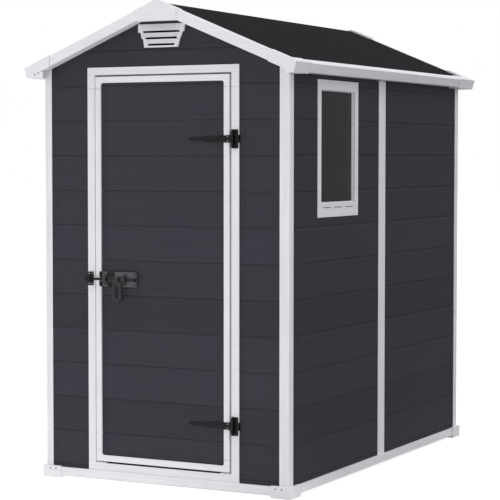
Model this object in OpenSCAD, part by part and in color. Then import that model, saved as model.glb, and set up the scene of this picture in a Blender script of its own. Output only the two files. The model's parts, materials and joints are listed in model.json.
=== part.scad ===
// Compact resin garden shed: plank-look wall panels held between white posts,
// a pitched roof with white edge mouldings, one side window and a bolted door.
// Millimetres. +Z is up, the door faces -Y, and the origin is the centre of the footprint on the ground.

/* [Shed] */
// Width over the corner posts
shed_w = 1130; // [950:5:1360]
// Depth over the corner posts
shed_d = 1820; // [1510:5:2190]
// Height of the side walls' top edge above the ground
wall_top = 1681; // [1400:1:2020]

/* [Wall panels and posts] */
// Thickness of a wall panel
panel_t = 18; // [15:0.1:22]
// Set-back of a panel's face behind the posts' faces
panel_set = 3; // [2.5:0.1:3.6]
// Width of a corner post's wide face and of its narrow face
post_w = 44; // [37:1:52]
post_narrow_w = 34; // [30:1:40]
// Width of the lip with which posts and door frame cover a panel's edge
cover_lip = 10; // [8:0.5:12]
// Radius of a post's outer corner
post_r = 6; // [5:0.5:7]
// Width of the cover strip of a middle post
mid_cover_w = 70; // [59:1:84]
// Width of a middle post's core between two panels
mid_core_w = 20; // [16:1:24]

/* [Base] */
// Height of the base rails' underside above the ground
ground_gap = 11; // [9:0.5:13]
// Height of a base rail
rail_h = 34; // [29:1:40]
// Distance that the base rails stand out from the posts' faces, and reach in behind them
rail_proud = 8; // [4:0.5:10]
rail_in = 38; // [32:1:45]
// Distance that the feet stand out from the posts' faces
foot_proud = 13; // [11:0.5:16]
// Length of a foot's two legs
foot_leg = 90; // [78:1:108]
// Radius of a foot's outer corner
foot_r = 8; // [6.5:0.5:9.5]
// Height of a foot's outer rim above the rails
foot_rim = 4; // [2:0.5:6]
// Thickness of the floor panels
floor_t = 36; // [30:1:40]
// Joint between the two floor panels
floor_joint = 4; // [2:0.5:6]

/* [Roof] */
// Pitch of the roof, in degrees
roof_pitch = 22.5; // [19:0.5:27]
// Thickness of a roof panel
roof_t = 23; // [19:0.5:28]
// Height of the white edge mouldings above the roof panels
rim_rise = 5; // [4:0.5:6]
// Distance from the posts' faces to the eave's outer edge
eave_over = 55; // [45:1:66]
// Distance from the posts' faces to the barge boards' faces
end_over = 60; // [50:1:72]
// Thickness of a barge board
barge_t = 25; // [20:1:30]
// Distance that a barge board hangs below its soffit
barge_drop = 4; // [3:0.5:5]
// Width of a barge board's flange on the roof, from the board's face
flange_w = 52; // [43:1:62]
// Thickness of the soffit behind a barge board
soffit_t = 7; // [5:0.5:9]
// Ledge on the eave moulding that carries the roof panel
eave_ledge = 1.5; // [1:0.1:2]
// Distance from the side walls' top down to the eave moulding's underside
eave_drop = 21; // [17:1:25]
// Distance that the eave moulding's face leans in towards its foot
eave_lean = 13; // [10:0.5:15]
// Length of a corner cap along the barge board
cap_leg_x = 120; // [100:1:145]
// Length along the eave of a corner cap of the short kind and of the long kind
cap_leg_y = 135; // [112:1:162]
cap_long_leg_y = 182; // [152:1:218]
// Width of the box at the foot of a short corner cap and of a long one
cap_box_w = 41; // [34:1:49]
cap_long_box_w = 88; // [74:1:105]
// Distance that caps and peak covers stand out from the boards they cover, and rise above them
cap_proud = 3; // [2:0.5:4]
cap_rise = 2.5; // [2:0.5:3]
// Distance that a corner cap hangs below the eave moulding
cap_drop = 5.5; // [4.5:0.5:6.5]
// Half width of a peak cover
peak_half_w = 95; // [80:1:103]
// Distance that a peak cover hangs below the barge boards' joint
peak_drop = 39; // [33:0.5:46]
// Length of a peak cover's saddle along the ridge, from the boards' face
saddle_l = 52; // [43:1:62]
// Width and height of the ridge beam
beam_w = 30; // [25:1:36]
beam_h = 50; // [40:1:60]

/* [Gable vents] */
// Width of a vent's widest louvre
vent_w = 217; // [181:1:260]
// Height of a vent's top, middle and bottom louvre
vent_tier_top = 33; // [28:0.5:40]
vent_tier_mid = 25.5; // [21:0.5:31]
vent_tier_low = 35; // [29:0.5:42]
// Distance that each louvre is narrower than the one above, on each side
vent_step = 11.5; // [9.5:0.5:13.5]
// Distance that a louvre's sides lean in towards its foot
vent_taper = 9; // [7.5:0.5:10.5]
// Distance that a louvre's lower lip stands out from the gable
vent_proud = 11; // [9:0.5:13]
// Height of a louvre's slot
vent_slot = 8; // [6.5:0.5:9.5]

/* [Window] */
// Width and height over the window frame
window_w = 395; // [330:1:470]
window_h = 552; // [460:1:660]
// Distance from the side wall's top down to the window frame
window_drop = 39; // [32:1:47]
// Width of the frame's sides, top and bottom
window_side = 33; // [27:1:39]
window_head = 48; // [40:1:57]
window_foot = 64; // [54:1:76]
// Distance that the frame stands out from the wall
window_proud = 2.5; // [2:0.1:3]
// Width of the bead in front of the pane, and its depth behind the frame's face
bead_w = 4; // [3:0.5:5]
bead_set = 10; // [8:0.5:12]
// Length and height of the three drain slots in the frame's foot
drain_l = 80; // [66:1:90]
drain_h = 3; // [2.5:0.1:3.6]
// Depth of the pane behind the frame's face
pane_recess = 16; // [13.5:0.5:18]
// Thickness of the pane
pane_t = 4; // [3:0.5:5]
// Width of the frame's edge that holds the pane
pane_hold = 7; // [5:0.5:9]

/* [Door frame] */
// Width of the opening between the jambs
opening_w = 630; // [525:1:700]
// Width of the frame's face
frame_w = 34.5; // [29:0.5:41]
// Distance that the frame stands out from the posts' faces
frame_proud = 2.5; // [2:0.1:3]
// Depth of the frame, front to back
frame_depth = 44; // [44:1:52]
// Height of the sill above the base rail
sill_h = 32; // [27:1:38]
// Height of the frame's top edge above the side walls' top
head_rise = 14; // [10:1:18]
// Width and thickness of the stop that the door closes against
stop_w = 12; // [10:1:14]
stop_t = 8; // [6:0.5:9]
// Distance from the frame's top edge down to the joint of head and jambs
head_leg = 86; // [72:1:103]

/* [Door] */
// Gap beside, above and below the door
door_gap = 6; // [5.5:0.1:7]
door_gap_top = 7; // [6:0.5:8]
door_gap_foot = 8; // [7:0.5:9]
// Width of the door's stiles and rails
stile_w = 25; // [22:0.5:30]
// Thickness of the door's stiles and rails
stile_t = 35.5; // [30:0.5:36]
// Distance that the door stands out from its frame
door_proud = 5; // [4.5:0.1:6]
// Depth of the door's plank panel behind the stiles
door_panel_set = 7.5; // [6:0.5:9]
// Thickness of the door's plank panel
door_panel_t = 20; // [16:0.5:24]
// Radius of the panel's corners
door_panel_r = 10; // [7:0.5:12]
// Length of the rails' corner legs
rail_leg = 48; // [42:1:58]

/* [Hinges] */
// Length of a strap from the pin to its tip
strap_l = 206; // [172:1:247]
// Height of a strap at the pin, at the end of its taper and at its neck
strap_root = 31; // [27:0.5:35]
strap_end = 18.6; // [16:0.2:22]
strap_neck = 11; // [9:0.5:13]
// Length and height of the leaf at a strap's tip
leaf_l = 60; // [50:1:72]
leaf_h = 16.4; // [14:0.2:19]
// Thickness of straps and plates
hinge_t = 3.5; // [3:0.1:4.2]
// Radius of the knuckles and of the pin
knuckle_r = 6; // [5.5:0.1:6.5]
pin_r = 3; // [2.5:0.1:3.6]
// Radial play between the pin and a strap's knuckle
pin_play = 0.3; // [0.2:0.05:0.4]
// Width and height of the plate on the jamb
hinge_plate_w = 27; // [22:0.5:27]
hinge_plate_h = 74; // [64:1:89]
// Distance from the jamb's edge to the pin
pin_in = 10.5; // [9:0.5:11.5]
// Distance from the door's top and foot to its hinges
hinge_from_top = 254; // [210:1:305]
hinge_from_foot = 185; // [155:1:220]

/* [Latch] */
// Height of the bolt above the ground
latch_z = 835; // [700:1:990]
// Length and height of the latch plate on the door
latch_plate_l = 174; // [166:1:200]
latch_plate_h = 60; // [56:1:72]
// Thickness of latch plate, guides and keeper
latch_t = 3; // [2.5:0.1:3.5]
// Distance from the door's edge to the latch plate
latch_edge = 19; // [16:0.5:22]
// Radius of the bolt, and its play in guides and handle
bolt_r = 5.5; // [4.6:0.1:6]
bolt_play = 0.3; // [0.2:0.05:0.4]
// Travel of the bolt
bolt_travel = 24; // [20:1:26]
// Clearance between the drawn bolt and the keeper
keeper_gap = 6; // [5:0.5:7]
// Width of a guide along the bolt
guide_w = 14; // [12:0.5:16]
// Width and length of the hanging handle
handle_w = 41; // [36:0.5:44]
handle_l = 90; // [78:1:108]
// Thickness of the handle and width of its slot
handle_t = 5; // [4:0.5:6]
handle_slot_w = 18; // [15:0.5:20]

/* [Hidden] */
$fn = 48;

trim_white = [0.89, 0.89, 0.91];
plank_grey = [0.24, 0.24, 0.27];
roof_black = [0.17, 0.16, 0.17];
fitting_black = [0.08, 0.08, 0.09];
floor_grey = [0.33, 0.33, 0.35];
beam_steel = [0.62, 0.63, 0.65];
pane_clear = [0.25, 0.26, 0.28];

// Walls: the posts' faces, then each panel's outer and inner face, and the rails' inner faces
half_w = shed_w / 2;
half_d = shed_d / 2;
face_x = half_w - panel_set;
face_y = half_d - panel_set;
inner_x = face_x - panel_t;
inner_y = face_y - panel_t;
rail_x = half_w - rail_in;
rail_y = half_d - rail_in;
base_z = ground_gap + rail_h;
cover_play = 2;

// The corner posts are alike but turned, so what stands midway between two posts is off the shed's centre
midway = (post_w - post_narrow_w) / 2;
seam = 0.8;

// Roof: n is the distance from the soffits' underside, square to the slope
roof_play = 0.1;
roof_top = soffit_t + roof_t;
rim = roof_top + rim_rise;
function roof_z(x, n) = wall_top + (face_x - abs(x)) * tan(roof_pitch) + n / cos(roof_pitch);
function square_cut(x, n) = [x - (rim - n) * sin(roof_pitch), roof_z(x, rim) - (rim - n) * cos(roof_pitch)];
function strip(x0, x1, low, high) = [[x0, roof_z(x0, low)], [x1, roof_z(x1, low)],
                                     [x1, roof_z(x1, high)], [x0, roof_z(x0, high)]];
eave_x = half_w + eave_over;
eave_z = wall_top - eave_drop;
roof_end_x = face_x + eave_ledge + rim * sin(roof_pitch);
barge_y = half_d + end_over;
roof_y = barge_y - barge_t;
flange_y = barge_y - flange_w;
cap_x = eave_x - cap_leg_x;
cap_y = barge_y + cap_proud - cap_leg_y;
cap_long_y = barge_y + cap_proud - cap_long_leg_y;
side_top = roof_z(face_x, soffit_t);
ridge_gap = 1;

// Door frame and door, drawn about X = 0, front to back and from the sill up
frame_y = half_d + frame_proud;
frame_back = frame_y - frame_depth;
opening_half = opening_w / 2;
frame_half = opening_half + frame_w;
frame_core_half = frame_half - cover_lip;
sill_top = base_z + sill_h;
frame_top = wall_top + head_rise;
opening_top = frame_top - frame_w + 3.5;
frame_core_top = frame_top - cover_lip;
head_joint = frame_top - head_leg;
gable_z = frame_core_top;
door_half = opening_half - door_gap;
door_foot = sill_top + door_gap_foot;
door_top = opening_top - door_gap_top;
door_y = frame_y + door_proud;
door_back = door_y - stile_t;
door_panel_y = door_y - door_panel_set;
panel_half = door_half - stile_w;

// Hinges: the pin stands in front of the jamb
pin_x = opening_half + pin_in;
pin_y = door_y + knuckle_r + 1;
hinge_zs = [door_foot + hinge_from_foot, door_top - hinge_from_top];
knuckle_gap = 0.5;
fixed_knuckle_h = 14;

// Latch: places along the door run from its free edge
latch_y = door_y + latch_t;
latch_x0 = -door_half + latch_edge;
latch_x1 = latch_x0 + latch_plate_l;
collar_r = bolt_r + 4;
bolt_y = latch_y + collar_r + 1.5;
keeper_w = 22;
keeper_x1 = -opening_half - 9;
keeper_x0 = keeper_x1 - keeper_w;
keeper_half = 8;
bolt_x0 = keeper_x1 + keeper_gap;
bolt_x1 = latch_x1 + 4;
guide_a = latch_x0 + 26;
handle_x = guide_a + guide_w + bolt_travel + handle_w / 2 + 5;
guide_b = handle_x + handle_w / 2 + 5.5;
collar_w = 18;
shoulder_r = bolt_r + 2;
shoulder_w = 3;

// A box between two corners
module block(low, high) {
  translate(low) cube(high - low);
}

// An outline in X and Z, swept from y0 to y1
module along_y(y0, y1) {
  translate([0, y1, 0]) rotate([90, 0, 0]) linear_extrude(y1 - y0) children();
}

// An outline in Y and Z, swept from x0 to x1
module along_x(x0, x1) {
  translate([x0, 0, 0]) rotate([90, 0, 90]) linear_extrude(x1 - x0) children();
}

// An outline in X and Y, swept from z0 to z1
module along_z(z0, z1) {
  translate([0, 0, z0]) linear_extrude(z1 - z0) children();
}

// Places a shape that is drawn at the right back corner in the corner of the given signs
module corner(sx, sy) {
  if (sx < 0) mirror([1, 0, 0]) corner(1, sy) children();
  else if (sy < 0) mirror([0, 1, 0]) children();
  else children();
}

// Moves the door and its frame, drawn about X = 0, midway between the front posts
module door_place() {
  translate([-midway, 0, 0]) children();
}

// A rectangle between two corners, with round corners where r is given
module rect(low, high, r = 0) {
  if (r == 0) translate(low) square(high - low);
  else {
    translate([low[0] + r, low[1]]) square([high[0] - low[0] - 2 * r, high[1] - low[1]]);
    translate([low[0], low[1] + r]) square([high[0] - low[0], high[1] - low[1] - 2 * r]);
    for (x = [low[0] + r, high[0] - r], y = [low[1] + r, high[1] - r]) translate([x, y]) circle(r);
  }
}

// Floor: two panels that lie between the base rails
module floor_panels() {
  color(floor_grey) for (sy = [-1, 1]) corner(1, sy)
    block([-rail_x, floor_joint / 2, 0], [rail_x, rail_y, floor_t]);
}

// Base rail along the front or back, drawn at the back
module base_rail_end() {
  color(trim_white) block([-half_w - foot_proud + foot_leg, rail_y, ground_gap],
                          [half_w + foot_proud - foot_leg, half_d + rail_proud, base_z]);
}

// Base rail along a side, drawn at the right
module base_rail_side() {
  color(trim_white) block([rail_x, -half_d - foot_proud + foot_leg, ground_gap],
                          [half_w + rail_proud, half_d + foot_proud - foot_leg, base_z]);
}

// A rectangle between two corners, with its outer corner round
module round_corner(low, high, r) {
  translate([high[0] - r, high[1] - r]) circle(r);
  rect(low, [high[0] - r, high[1]]);
  rect(low, [high[0], high[1] - r]);
}

// Foot: an angle that carries a corner post and takes the ends of two rails, with a rim outside the post
module foot() {
  out_x = half_w + foot_proud;
  out_y = half_d + foot_proud;
  color(trim_white) difference() {
    along_z(0, base_z + foot_rim) difference() {
      round_corner([out_x - foot_leg, out_y - foot_leg], [out_x, out_y], foot_r);
      rect([out_x - foot_leg - 1, out_y - foot_leg - 1], [rail_x, rail_y]);
    }
    along_z(base_z, base_z + foot_rim + 1) rect([out_x - foot_leg - 1, out_y - foot_leg - 1], [half_w, half_d]);
  }
}

// Corner post: a round-cornered core with a lip over the edge of each wall panel, drawn at the right back.
// Its side stops under the eave, its core runs up to the gable, and its end lip follows the soffit.
module corner_post(leg_x, leg_y) {
  core_x = half_w - leg_x + cover_lip;
  core_y = half_d - leg_y + cover_lip;
  lip_x = half_w - leg_x;
  low_top = eave_z - cap_drop - cover_play;
  color(trim_white) {
    along_z(base_z, low_top) {
      round_corner([core_x, core_y], [half_w, half_d], post_r);
      rect([lip_x, face_y], [half_w - post_r, half_d]);
      rect([face_x, half_d - leg_y], [half_w, half_d - post_r]);
    }
    block([core_x, core_y, base_z], [face_x, face_y, gable_z]);
    along_y(face_y, half_d) polygon([
      [lip_x, base_z], [face_x, base_z],
      [face_x, roof_z(face_x, 0) - cover_play], [lip_x, roof_z(lip_x, 0) - cover_play],
    ]);
  }
}

// Middle post: a core between two side panels, with a cover strip outside and a narrower one inside
module mid_post() {
  cover_half = mid_cover_w / 2;
  bevel = panel_set / 2;
  color(trim_white) translate([0, -midway, 0]) {
    along_z(base_z, eave_z - cover_play) polygon([
      [face_x, -cover_half], [half_w - bevel, -cover_half], [half_w, -cover_half + bevel],
      [half_w, cover_half - bevel], [half_w - bevel, cover_half], [face_x, cover_half],
    ]);
    block([inner_x, -mid_core_w / 2, base_z], [face_x, mid_core_w / 2, side_top]);
    block([inner_x - 4, -mid_core_w / 2 - cover_lip, base_z], [inner_x, mid_core_w / 2 + cover_lip, side_top]);
  }
}

// Front wall panel between the door frame and a corner post, drawn at the right
module front_wall(leg, door_x) {
  color(plank_grey) block([door_x + frame_core_half, -face_y, base_z], [half_w - leg + cover_lip, -inner_y, gable_z]);
}

module back_wall() {
  color(plank_grey) block([-half_w + post_w - cover_lip, inner_y, base_z],
                          [half_w - post_narrow_w + cover_lip, face_y, gable_z]);
}

// Gable panel over an end wall, drawn at the back, with an opening behind its vent at vent_x
module gable(vent_x) {
  color(plank_grey) along_y(inner_y, face_y) difference() {
    polygon([[-inner_x, gable_z], [inner_x, gable_z], [inner_x, roof_z(inner_x, soffit_t)],
             [0, roof_z(0, soffit_t)], [-inner_x, roof_z(inner_x, soffit_t)]]);
    rect([vent_x - vent_opening_half, vent_low + vent_rim], [vent_x + vent_opening_half, vent_top - 2 * vent_rim]);
  }
}

// Side wall panel from a middle post to a corner post, drawn at the back right
module side_wall(leg, mid_y) {
  color(plank_grey) block([inner_x, mid_y + mid_core_w / 2, base_z], [face_x, half_d - leg + cover_lip, side_top]);
}

// Window in the front panel of the right wall
window_y = -(half_d - post_narrow_w + midway + mid_cover_w / 2) / 2;
window_z1 = wall_top - window_drop;
window_z0 = window_z1 - window_h;
light_low = [window_y - window_w / 2 + window_side, window_z0 + window_foot];
light_high = [window_y + window_w / 2 - window_side, window_z1 - window_head];
window_wall = 14;
pane_x1 = face_x + window_proud - pane_recess;
pane_x0 = pane_x1 - pane_t;
function grown(p, d) = [p[0] + d, p[1] + d];

module right_wall_front() {
  color(plank_grey) difference() {
    corner(1, -1) side_wall(post_narrow_w, midway);
    along_x(inner_x - 1, face_x + 1) rect(grown(light_low, -window_wall), grown(light_high, window_wall));
  }
}

// The pane's outline, held behind the bead
module pane_outline() {
  rect(grown(light_low, bead_w - pane_hold), grown(light_high, pane_hold - bead_w));
}

// Window frame: a flange on the wall, and a box through it with a bead and a rebate for the pane
module window_frame() {
  flange_x = face_x + window_proud;
  box_back = inner_x - 3;
  drain_z = window_z0 + window_foot * 0.6;
  drain_pitch = (light_high[0] - light_low[0]) / 3;
  color(trim_white) difference() {
    union() {
      along_x(face_x, flange_x) rect([window_y - window_w / 2, window_z0], [window_y + window_w / 2, window_z1]);
      along_x(box_back, face_x) rect(grown(light_low, -window_wall), grown(light_high, window_wall));
    }
    along_x(flange_x - bead_set, flange_x + 1) rect(light_low, light_high);
    along_x(box_back - 1, flange_x + 1) rect(grown(light_low, bead_w), grown(light_high, -bead_w));
    along_x(box_back - 1, pane_x1) pane_outline();
    along_x(face_x - 1, flange_x + 1) for (i = [-1, 0, 1]) translate([window_y + i * drain_pitch, drain_z])
      rect([-drain_l / 2, -drain_h / 2], [drain_l / 2, drain_h / 2]);
  }
}

module window_pane() {
  color(pane_clear) along_x(pane_x0, pane_x1) pane_outline();
}

// Door frame as one ring, drawn whole: its face covers the panels' edges, and a stop runs behind the door
module door_frame_ring() {
  difference() {
    union() {
      along_y(-frame_y, -face_y) rect([-frame_half, base_z], [frame_half, frame_top]);
      along_y(-face_y, -frame_back) rect([-frame_core_half, base_z], [frame_core_half, frame_core_top]);
    }
    along_y(-frame_y - 1, -frame_back - stop_t) rect([-opening_half, sill_top], [opening_half, opening_top]);
    along_y(-frame_y - 1, -frame_back + 1)
      rect([-opening_half + stop_w, sill_top], [opening_half - stop_w, opening_top - stop_w]);
  }
}

// The part of the door frame from z0 to z1
module door_frame_part(z0, z1) {
  color(trim_white) intersection() {
    door_frame_ring();
    block([-frame_half - 1, -frame_y - 1, z0], [frame_half + 1, -frame_back + 1, z1]);
  }
}

// Roof panel, drawn at the right: it lies on the walls and soffits, and ends in the eave moulding
module roof_panel() {
  low = soffit_t + roof_play;
  end_x = roof_end_x - roof_play;
  color(roof_black) along_y(-roof_y, roof_y) polygon([
    [0, roof_z(0, low)], square_cut(end_x, low), square_cut(end_x, roof_top), [0, roof_z(0, roof_top)],
  ]);
}

module ridge_beam() {
  top = roof_z(beam_w / 2, soffit_t);
  color(beam_steel) block([-beam_w / 2, -inner_y, top - beam_h], [beam_w / 2, inner_y, top]);
}

// Barge board with its soffit, drawn at the right back: a front board has a flange on the roof,
// and a back board ends level with the roof
module barge_board(flanged) {
  color(trim_white) {
    along_y(roof_y, barge_y) polygon(strip(ridge_gap, cap_x, -barge_drop, flanged ? rim : roof_top));
    if (flanged) along_y(flange_y, roof_y) polygon(strip(ridge_gap, cap_x, roof_top + roof_play, rim));
    along_y(face_y, roof_y) polygon(strip(ridge_gap, cap_x, 0, soffit_t));
  }
}

// Cover of the joint between two barge boards, drawn at the back: a plate in front and a saddle over the ridge
module peak_cover(board_top) {
  w = peak_half_w;
  board_low = roof_z(0, -barge_drop - roof_play);
  low = roof_z(0, -barge_drop) - peak_drop;
  wedge_x = (board_low - low) / tan(roof_pitch);
  color(trim_white) {
    along_y(barge_y, barge_y + cap_proud) polygon([
      [0, roof_z(0, rim + cap_rise)], [w, roof_z(w, rim + cap_rise)], [w, low], [-w, low], [-w, roof_z(w, rim + cap_rise)],
    ]);
    along_y(roof_y, barge_y) intersection() {
      polygon([[0, board_low], [wedge_x, low], [-wedge_x, low]]);
      rect([-w, low], [w, board_low]);
    }
    along_y(barge_y - saddle_l, barge_y) chevron(w, board_top + roof_play, rim + cap_rise);
  }
}

// A strip of both slopes, out to x on each side
module chevron(x, low, high) {
  polygon([[0, roof_z(0, high)], [x, roof_z(x, high)], [x, roof_z(x, low)],
           [0, roof_z(0, low)], [-x, roof_z(x, low)], [-x, roof_z(x, high)]]);
}

// Section of the eave moulding: a lip beside the roof panel, a leaning face and a level underside back to the wall
module eave_section(out, rise, drop) {
  polygon([
    square_cut(roof_end_x, rim + rise), [eave_x + out, roof_z(eave_x + out, rim + rise)],
    [eave_x + out - eave_lean, eave_z - drop], [face_x, eave_z - drop],
    [face_x, roof_z(face_x, soffit_t)], square_cut(roof_end_x, soffit_t),
  ]);
}

// Eave moulding, drawn at the right, from the front's short corner cap to the back's long one
module eave_fascia() {
  color(trim_white) along_y(-cap_y, cap_long_y) eave_section(0, 0, 0);
}

// Cap where a barge board and an eave moulding meet, drawn at the right back
module corner_cap(y0, box_w) {
  out_x = eave_x + cap_rise;
  box_x = eave_x - box_w;
  low = -barge_drop - cap_rise;
  flange_low = roof_top + roof_play;
  color(trim_white) {
    along_y(y0, roof_y) eave_section(cap_rise, cap_rise, cap_drop);
    along_y(roof_y, barge_y + cap_proud) polygon([
      [cap_x, roof_z(cap_x, low)], [cap_x, roof_z(cap_x, rim + cap_rise)], [out_x, roof_z(out_x, rim + cap_rise)],
      [out_x - eave_lean, eave_z - cap_drop], [box_x, eave_z - cap_drop], [box_x, roof_z(box_x, low)],
    ]);
    along_y(flange_y, roof_y) polygon([
      [cap_x, roof_z(cap_x, flange_low)], square_cut(roof_end_x + 2, flange_low),
      square_cut(roof_end_x + 2, rim + cap_rise), [cap_x, roof_z(cap_x, rim + cap_rise)],
    ]);
    along_y(face_y, roof_y) polygon(strip(cap_x, face_x, 0, soffit_t));
  }
}

// Gable vent, drawn at the back: three louvres, each narrower than the one above, with a slot in each lip
vent_top = roof_z(vent_w / 2, 0) - 3 * cover_play;
vent_mid_z = vent_top - vent_tier_top;
vent_low_z = vent_mid_z - vent_tier_mid;
vent_low = vent_low_z - vent_tier_low;
vent_rim = 6;
vent_cheek = 23.5;
vent_opening_half = vent_w / 2 - 2 * vent_step - vent_taper - 2 * vent_rim;

module louvre(half, z0, z1, taper) {
  foot_half = half - taper;
  intersection() {
    along_x(-half, half) polygon([[face_y, z0], [face_y + vent_proud, z0], [face_y + vent_proud, z0 + 4],
                                  [face_y + vent_proud / 2, z1], [face_y, z1]]);
    along_y(face_y - 1, face_y + vent_proud + 1)
      polygon([[-foot_half, z0 - 1], [foot_half, z0 - 1], [half, z1 + 1], [-half, z1 + 1]]);
  }
}

module louvre_slot(half, z) {
  block([-half, face_y - 1, z], [half, face_y + vent_proud + 1, z + vent_slot]);
}

module gable_vent() {
  half = vent_w / 2;
  slot_half = half - vent_cheek;
  color(trim_white) difference() {
    union() {
      louvre(half, vent_mid_z, vent_top, vent_taper / 2);
      louvre(half - vent_step, vent_low_z, vent_mid_z, vent_taper);
      louvre(half - 2 * vent_step, vent_low, vent_low_z, vent_taper);
    }
    louvre_slot(slot_half, vent_mid_z - 2);
    louvre_slot(slot_half - vent_step, vent_low_z - 2);
    louvre_slot(slot_half - 2 * vent_step, vent_low + 7);
  }
}

// Door: outline of the leaf and of the plank panel in its frame
module door_outline() {
  rect([-door_half, door_foot], [door_half, door_top]);
}

module door_panel_outline() {
  rect([-panel_half, door_foot + stile_w], [panel_half, door_top - stile_w], door_panel_r);
}

module door_panel() {
  color(plank_grey) along_y(-door_panel_y, -door_panel_y + door_panel_t) door_panel_outline();
}

// The part of the door's white frame from z0 to z1
module door_edge(z0, z1) {
  color(trim_white) along_y(-door_y, -door_back) intersection() {
    difference() {
      door_outline();
      door_panel_outline();
    }
    rect([-door_half, z0], [door_half, z1]);
  }
}

// Hinge plate on the jamb, with two knuckles and the pin
module hinge_plate(z) {
  plate_x0 = pin_x - knuckle_r;
  plate_x1 = plate_x0 + hinge_plate_w;
  tab = 2.5;
  color(fitting_black) translate([0, 0, z]) {
    along_y(-frame_y - hinge_t, -frame_y) {
      difference() {
        rect([plate_x0, -hinge_plate_h / 2], [plate_x1, hinge_plate_h / 2]);
        rect([plate_x0 - 1, -strap_root / 2 - knuckle_gap], [pin_x + knuckle_r + 1, strap_root / 2 + knuckle_gap]);
      }
      rect([plate_x1 - 1, -strap_root / 3], [plate_x1 + tab, strap_root / 3]);
    }
    for (side = [-1, 1]) mirror([0, 0, side < 0 ? 1 : 0])
      along_z(strap_root / 2 + knuckle_gap, strap_root / 2 + knuckle_gap + fixed_knuckle_h) {
        translate([pin_x, -pin_y]) circle(knuckle_r);
        rect([plate_x0, -pin_y], [pin_x + knuckle_r, -frame_y]);
      }
    translate([pin_x, -pin_y, -hinge_plate_h / 2]) cylinder(hinge_plate_h, r = pin_r);
  }
}

// Outline of a strap: a tapered tongue, a neck and a leaf
module strap_outline() {
  tip_x = pin_x - strap_l;
  leaf_x = tip_x + leaf_l / 2;
  end_x = tip_x + leaf_l + 7;
  leaf_r = (pow(leaf_l, 2) + pow(leaf_h, 2)) / (4 * leaf_h);
  polygon([[pin_x, -strap_root / 2], [pin_x, strap_root / 2], [end_x, strap_end / 2], [end_x, -strap_end / 2]]);
  rect([tip_x + leaf_l - 10, -strap_neck / 2], [end_x + 1, strap_neck / 2]);
  intersection() {
    translate([leaf_x, leaf_r - leaf_h / 2]) circle(leaf_r, $fn = 144);
    translate([leaf_x, leaf_h / 2 - leaf_r]) circle(leaf_r, $fn = 144);
  }
}

// Hinge strap: a leaf-tipped tongue, cranked from the door's stile down to its panel, with one knuckle
module hinge_strap(z) {
  color(fitting_black) translate([0, 0, z]) difference() {
    union() {
      intersection() {
        along_y(-door_y - hinge_t - 1, -door_panel_y + 1) strap_outline();
        along_z(-strap_root, strap_root) polygon([
          [pin_x - 1, -door_y], [pin_x - 1, -door_y - hinge_t], [panel_half - hinge_t, -door_y - hinge_t],
          [panel_half - 2 * hinge_t, -door_panel_y - hinge_t], [pin_x - strap_l - 1, -door_panel_y - hinge_t],
          [pin_x - strap_l - 1, -door_panel_y], [panel_half, -door_panel_y], [panel_half, -door_y],
        ]);
      }
      translate([pin_x, -pin_y, -strap_root / 2]) cylinder(strap_root, r = knuckle_r);
    }
    translate([pin_x, -pin_y, -strap_root]) cylinder(2 * strap_root, r = pin_r + pin_play);
  }
}

// Keeper on the left jamb: a plate with a square eye for the bolt
module latch_keeper() {
  eye_y = bolt_y + bolt_r + 1.5;
  color(fitting_black) translate([0, 0, latch_z]) difference() {
    union() {
      block([keeper_x0 - 2, -frame_y - latch_t, -latch_plate_h / 2 + 2],
            [keeper_x1 + 2, -frame_y, latch_plate_h / 2 - 2]);
      block([keeper_x0, -eye_y - latch_t, -keeper_half - latch_t], [keeper_x1, -frame_y, keeper_half + latch_t]);
    }
    block([keeper_x0 - 1, -eye_y, -keeper_half], [keeper_x1 + 1, -frame_y - latch_t, keeper_half]);
  }
}

// Latch plate: it fills the panel's recess and laps on to the stile
module latch_plate() {
  color(fitting_black) along_z(latch_z - latch_plate_h / 2, latch_z + latch_plate_h / 2) polygon([
    [latch_x0, -latch_y], [latch_x1, -latch_y], [latch_x1, -door_panel_y],
    [-panel_half, -door_panel_y], [-panel_half, -door_y], [latch_x0, -door_y],
  ]);
}

// Guide: a strap that arches over the bolt and has a foot on each side
module latch_guide(x) {
  bore_r = bolt_r + 1;
  foot_half = latch_plate_h / 2 - 7;
  color(fitting_black) translate([0, 0, latch_z]) along_x(x, x + guide_w) difference() {
    union() {
      translate([-bolt_y, 0]) circle(bore_r + latch_t);
      rect([-bolt_y, -bore_r - latch_t], [-latch_y, bore_r + latch_t]);
      rect([-latch_y - latch_t, -foot_half], [-latch_y, foot_half]);
    }
    translate([-bolt_y, 0]) circle(bore_r);
    rect([-bolt_y, -bore_r], [-latch_y + 1, bore_r]);
  }
}

// Bolt, drawn back, with a shoulder on each side of the handle and a stop at its end
module latch_bolt() {
  nose = 3;
  color(fitting_black) translate([0, -bolt_y, latch_z]) rotate([0, 90, 0]) {
    translate([0, 0, bolt_x0 + nose]) cylinder(bolt_x1 - bolt_x0 - nose, r = bolt_r);
    translate([0, 0, bolt_x0]) cylinder(nose, r1 = bolt_r - nose / 2, r2 = bolt_r);
    translate([0, 0, handle_x - collar_w / 2 - bolt_play - shoulder_w]) cylinder(shoulder_w, r = shoulder_r);
    translate([0, 0, handle_x + collar_w / 2 + bolt_play]) cylinder(shoulder_w, r = shoulder_r);
    translate([0, 0, bolt_x1 - 2 * shoulder_w]) cylinder(2 * shoulder_w, r = shoulder_r);
  }
}

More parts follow.
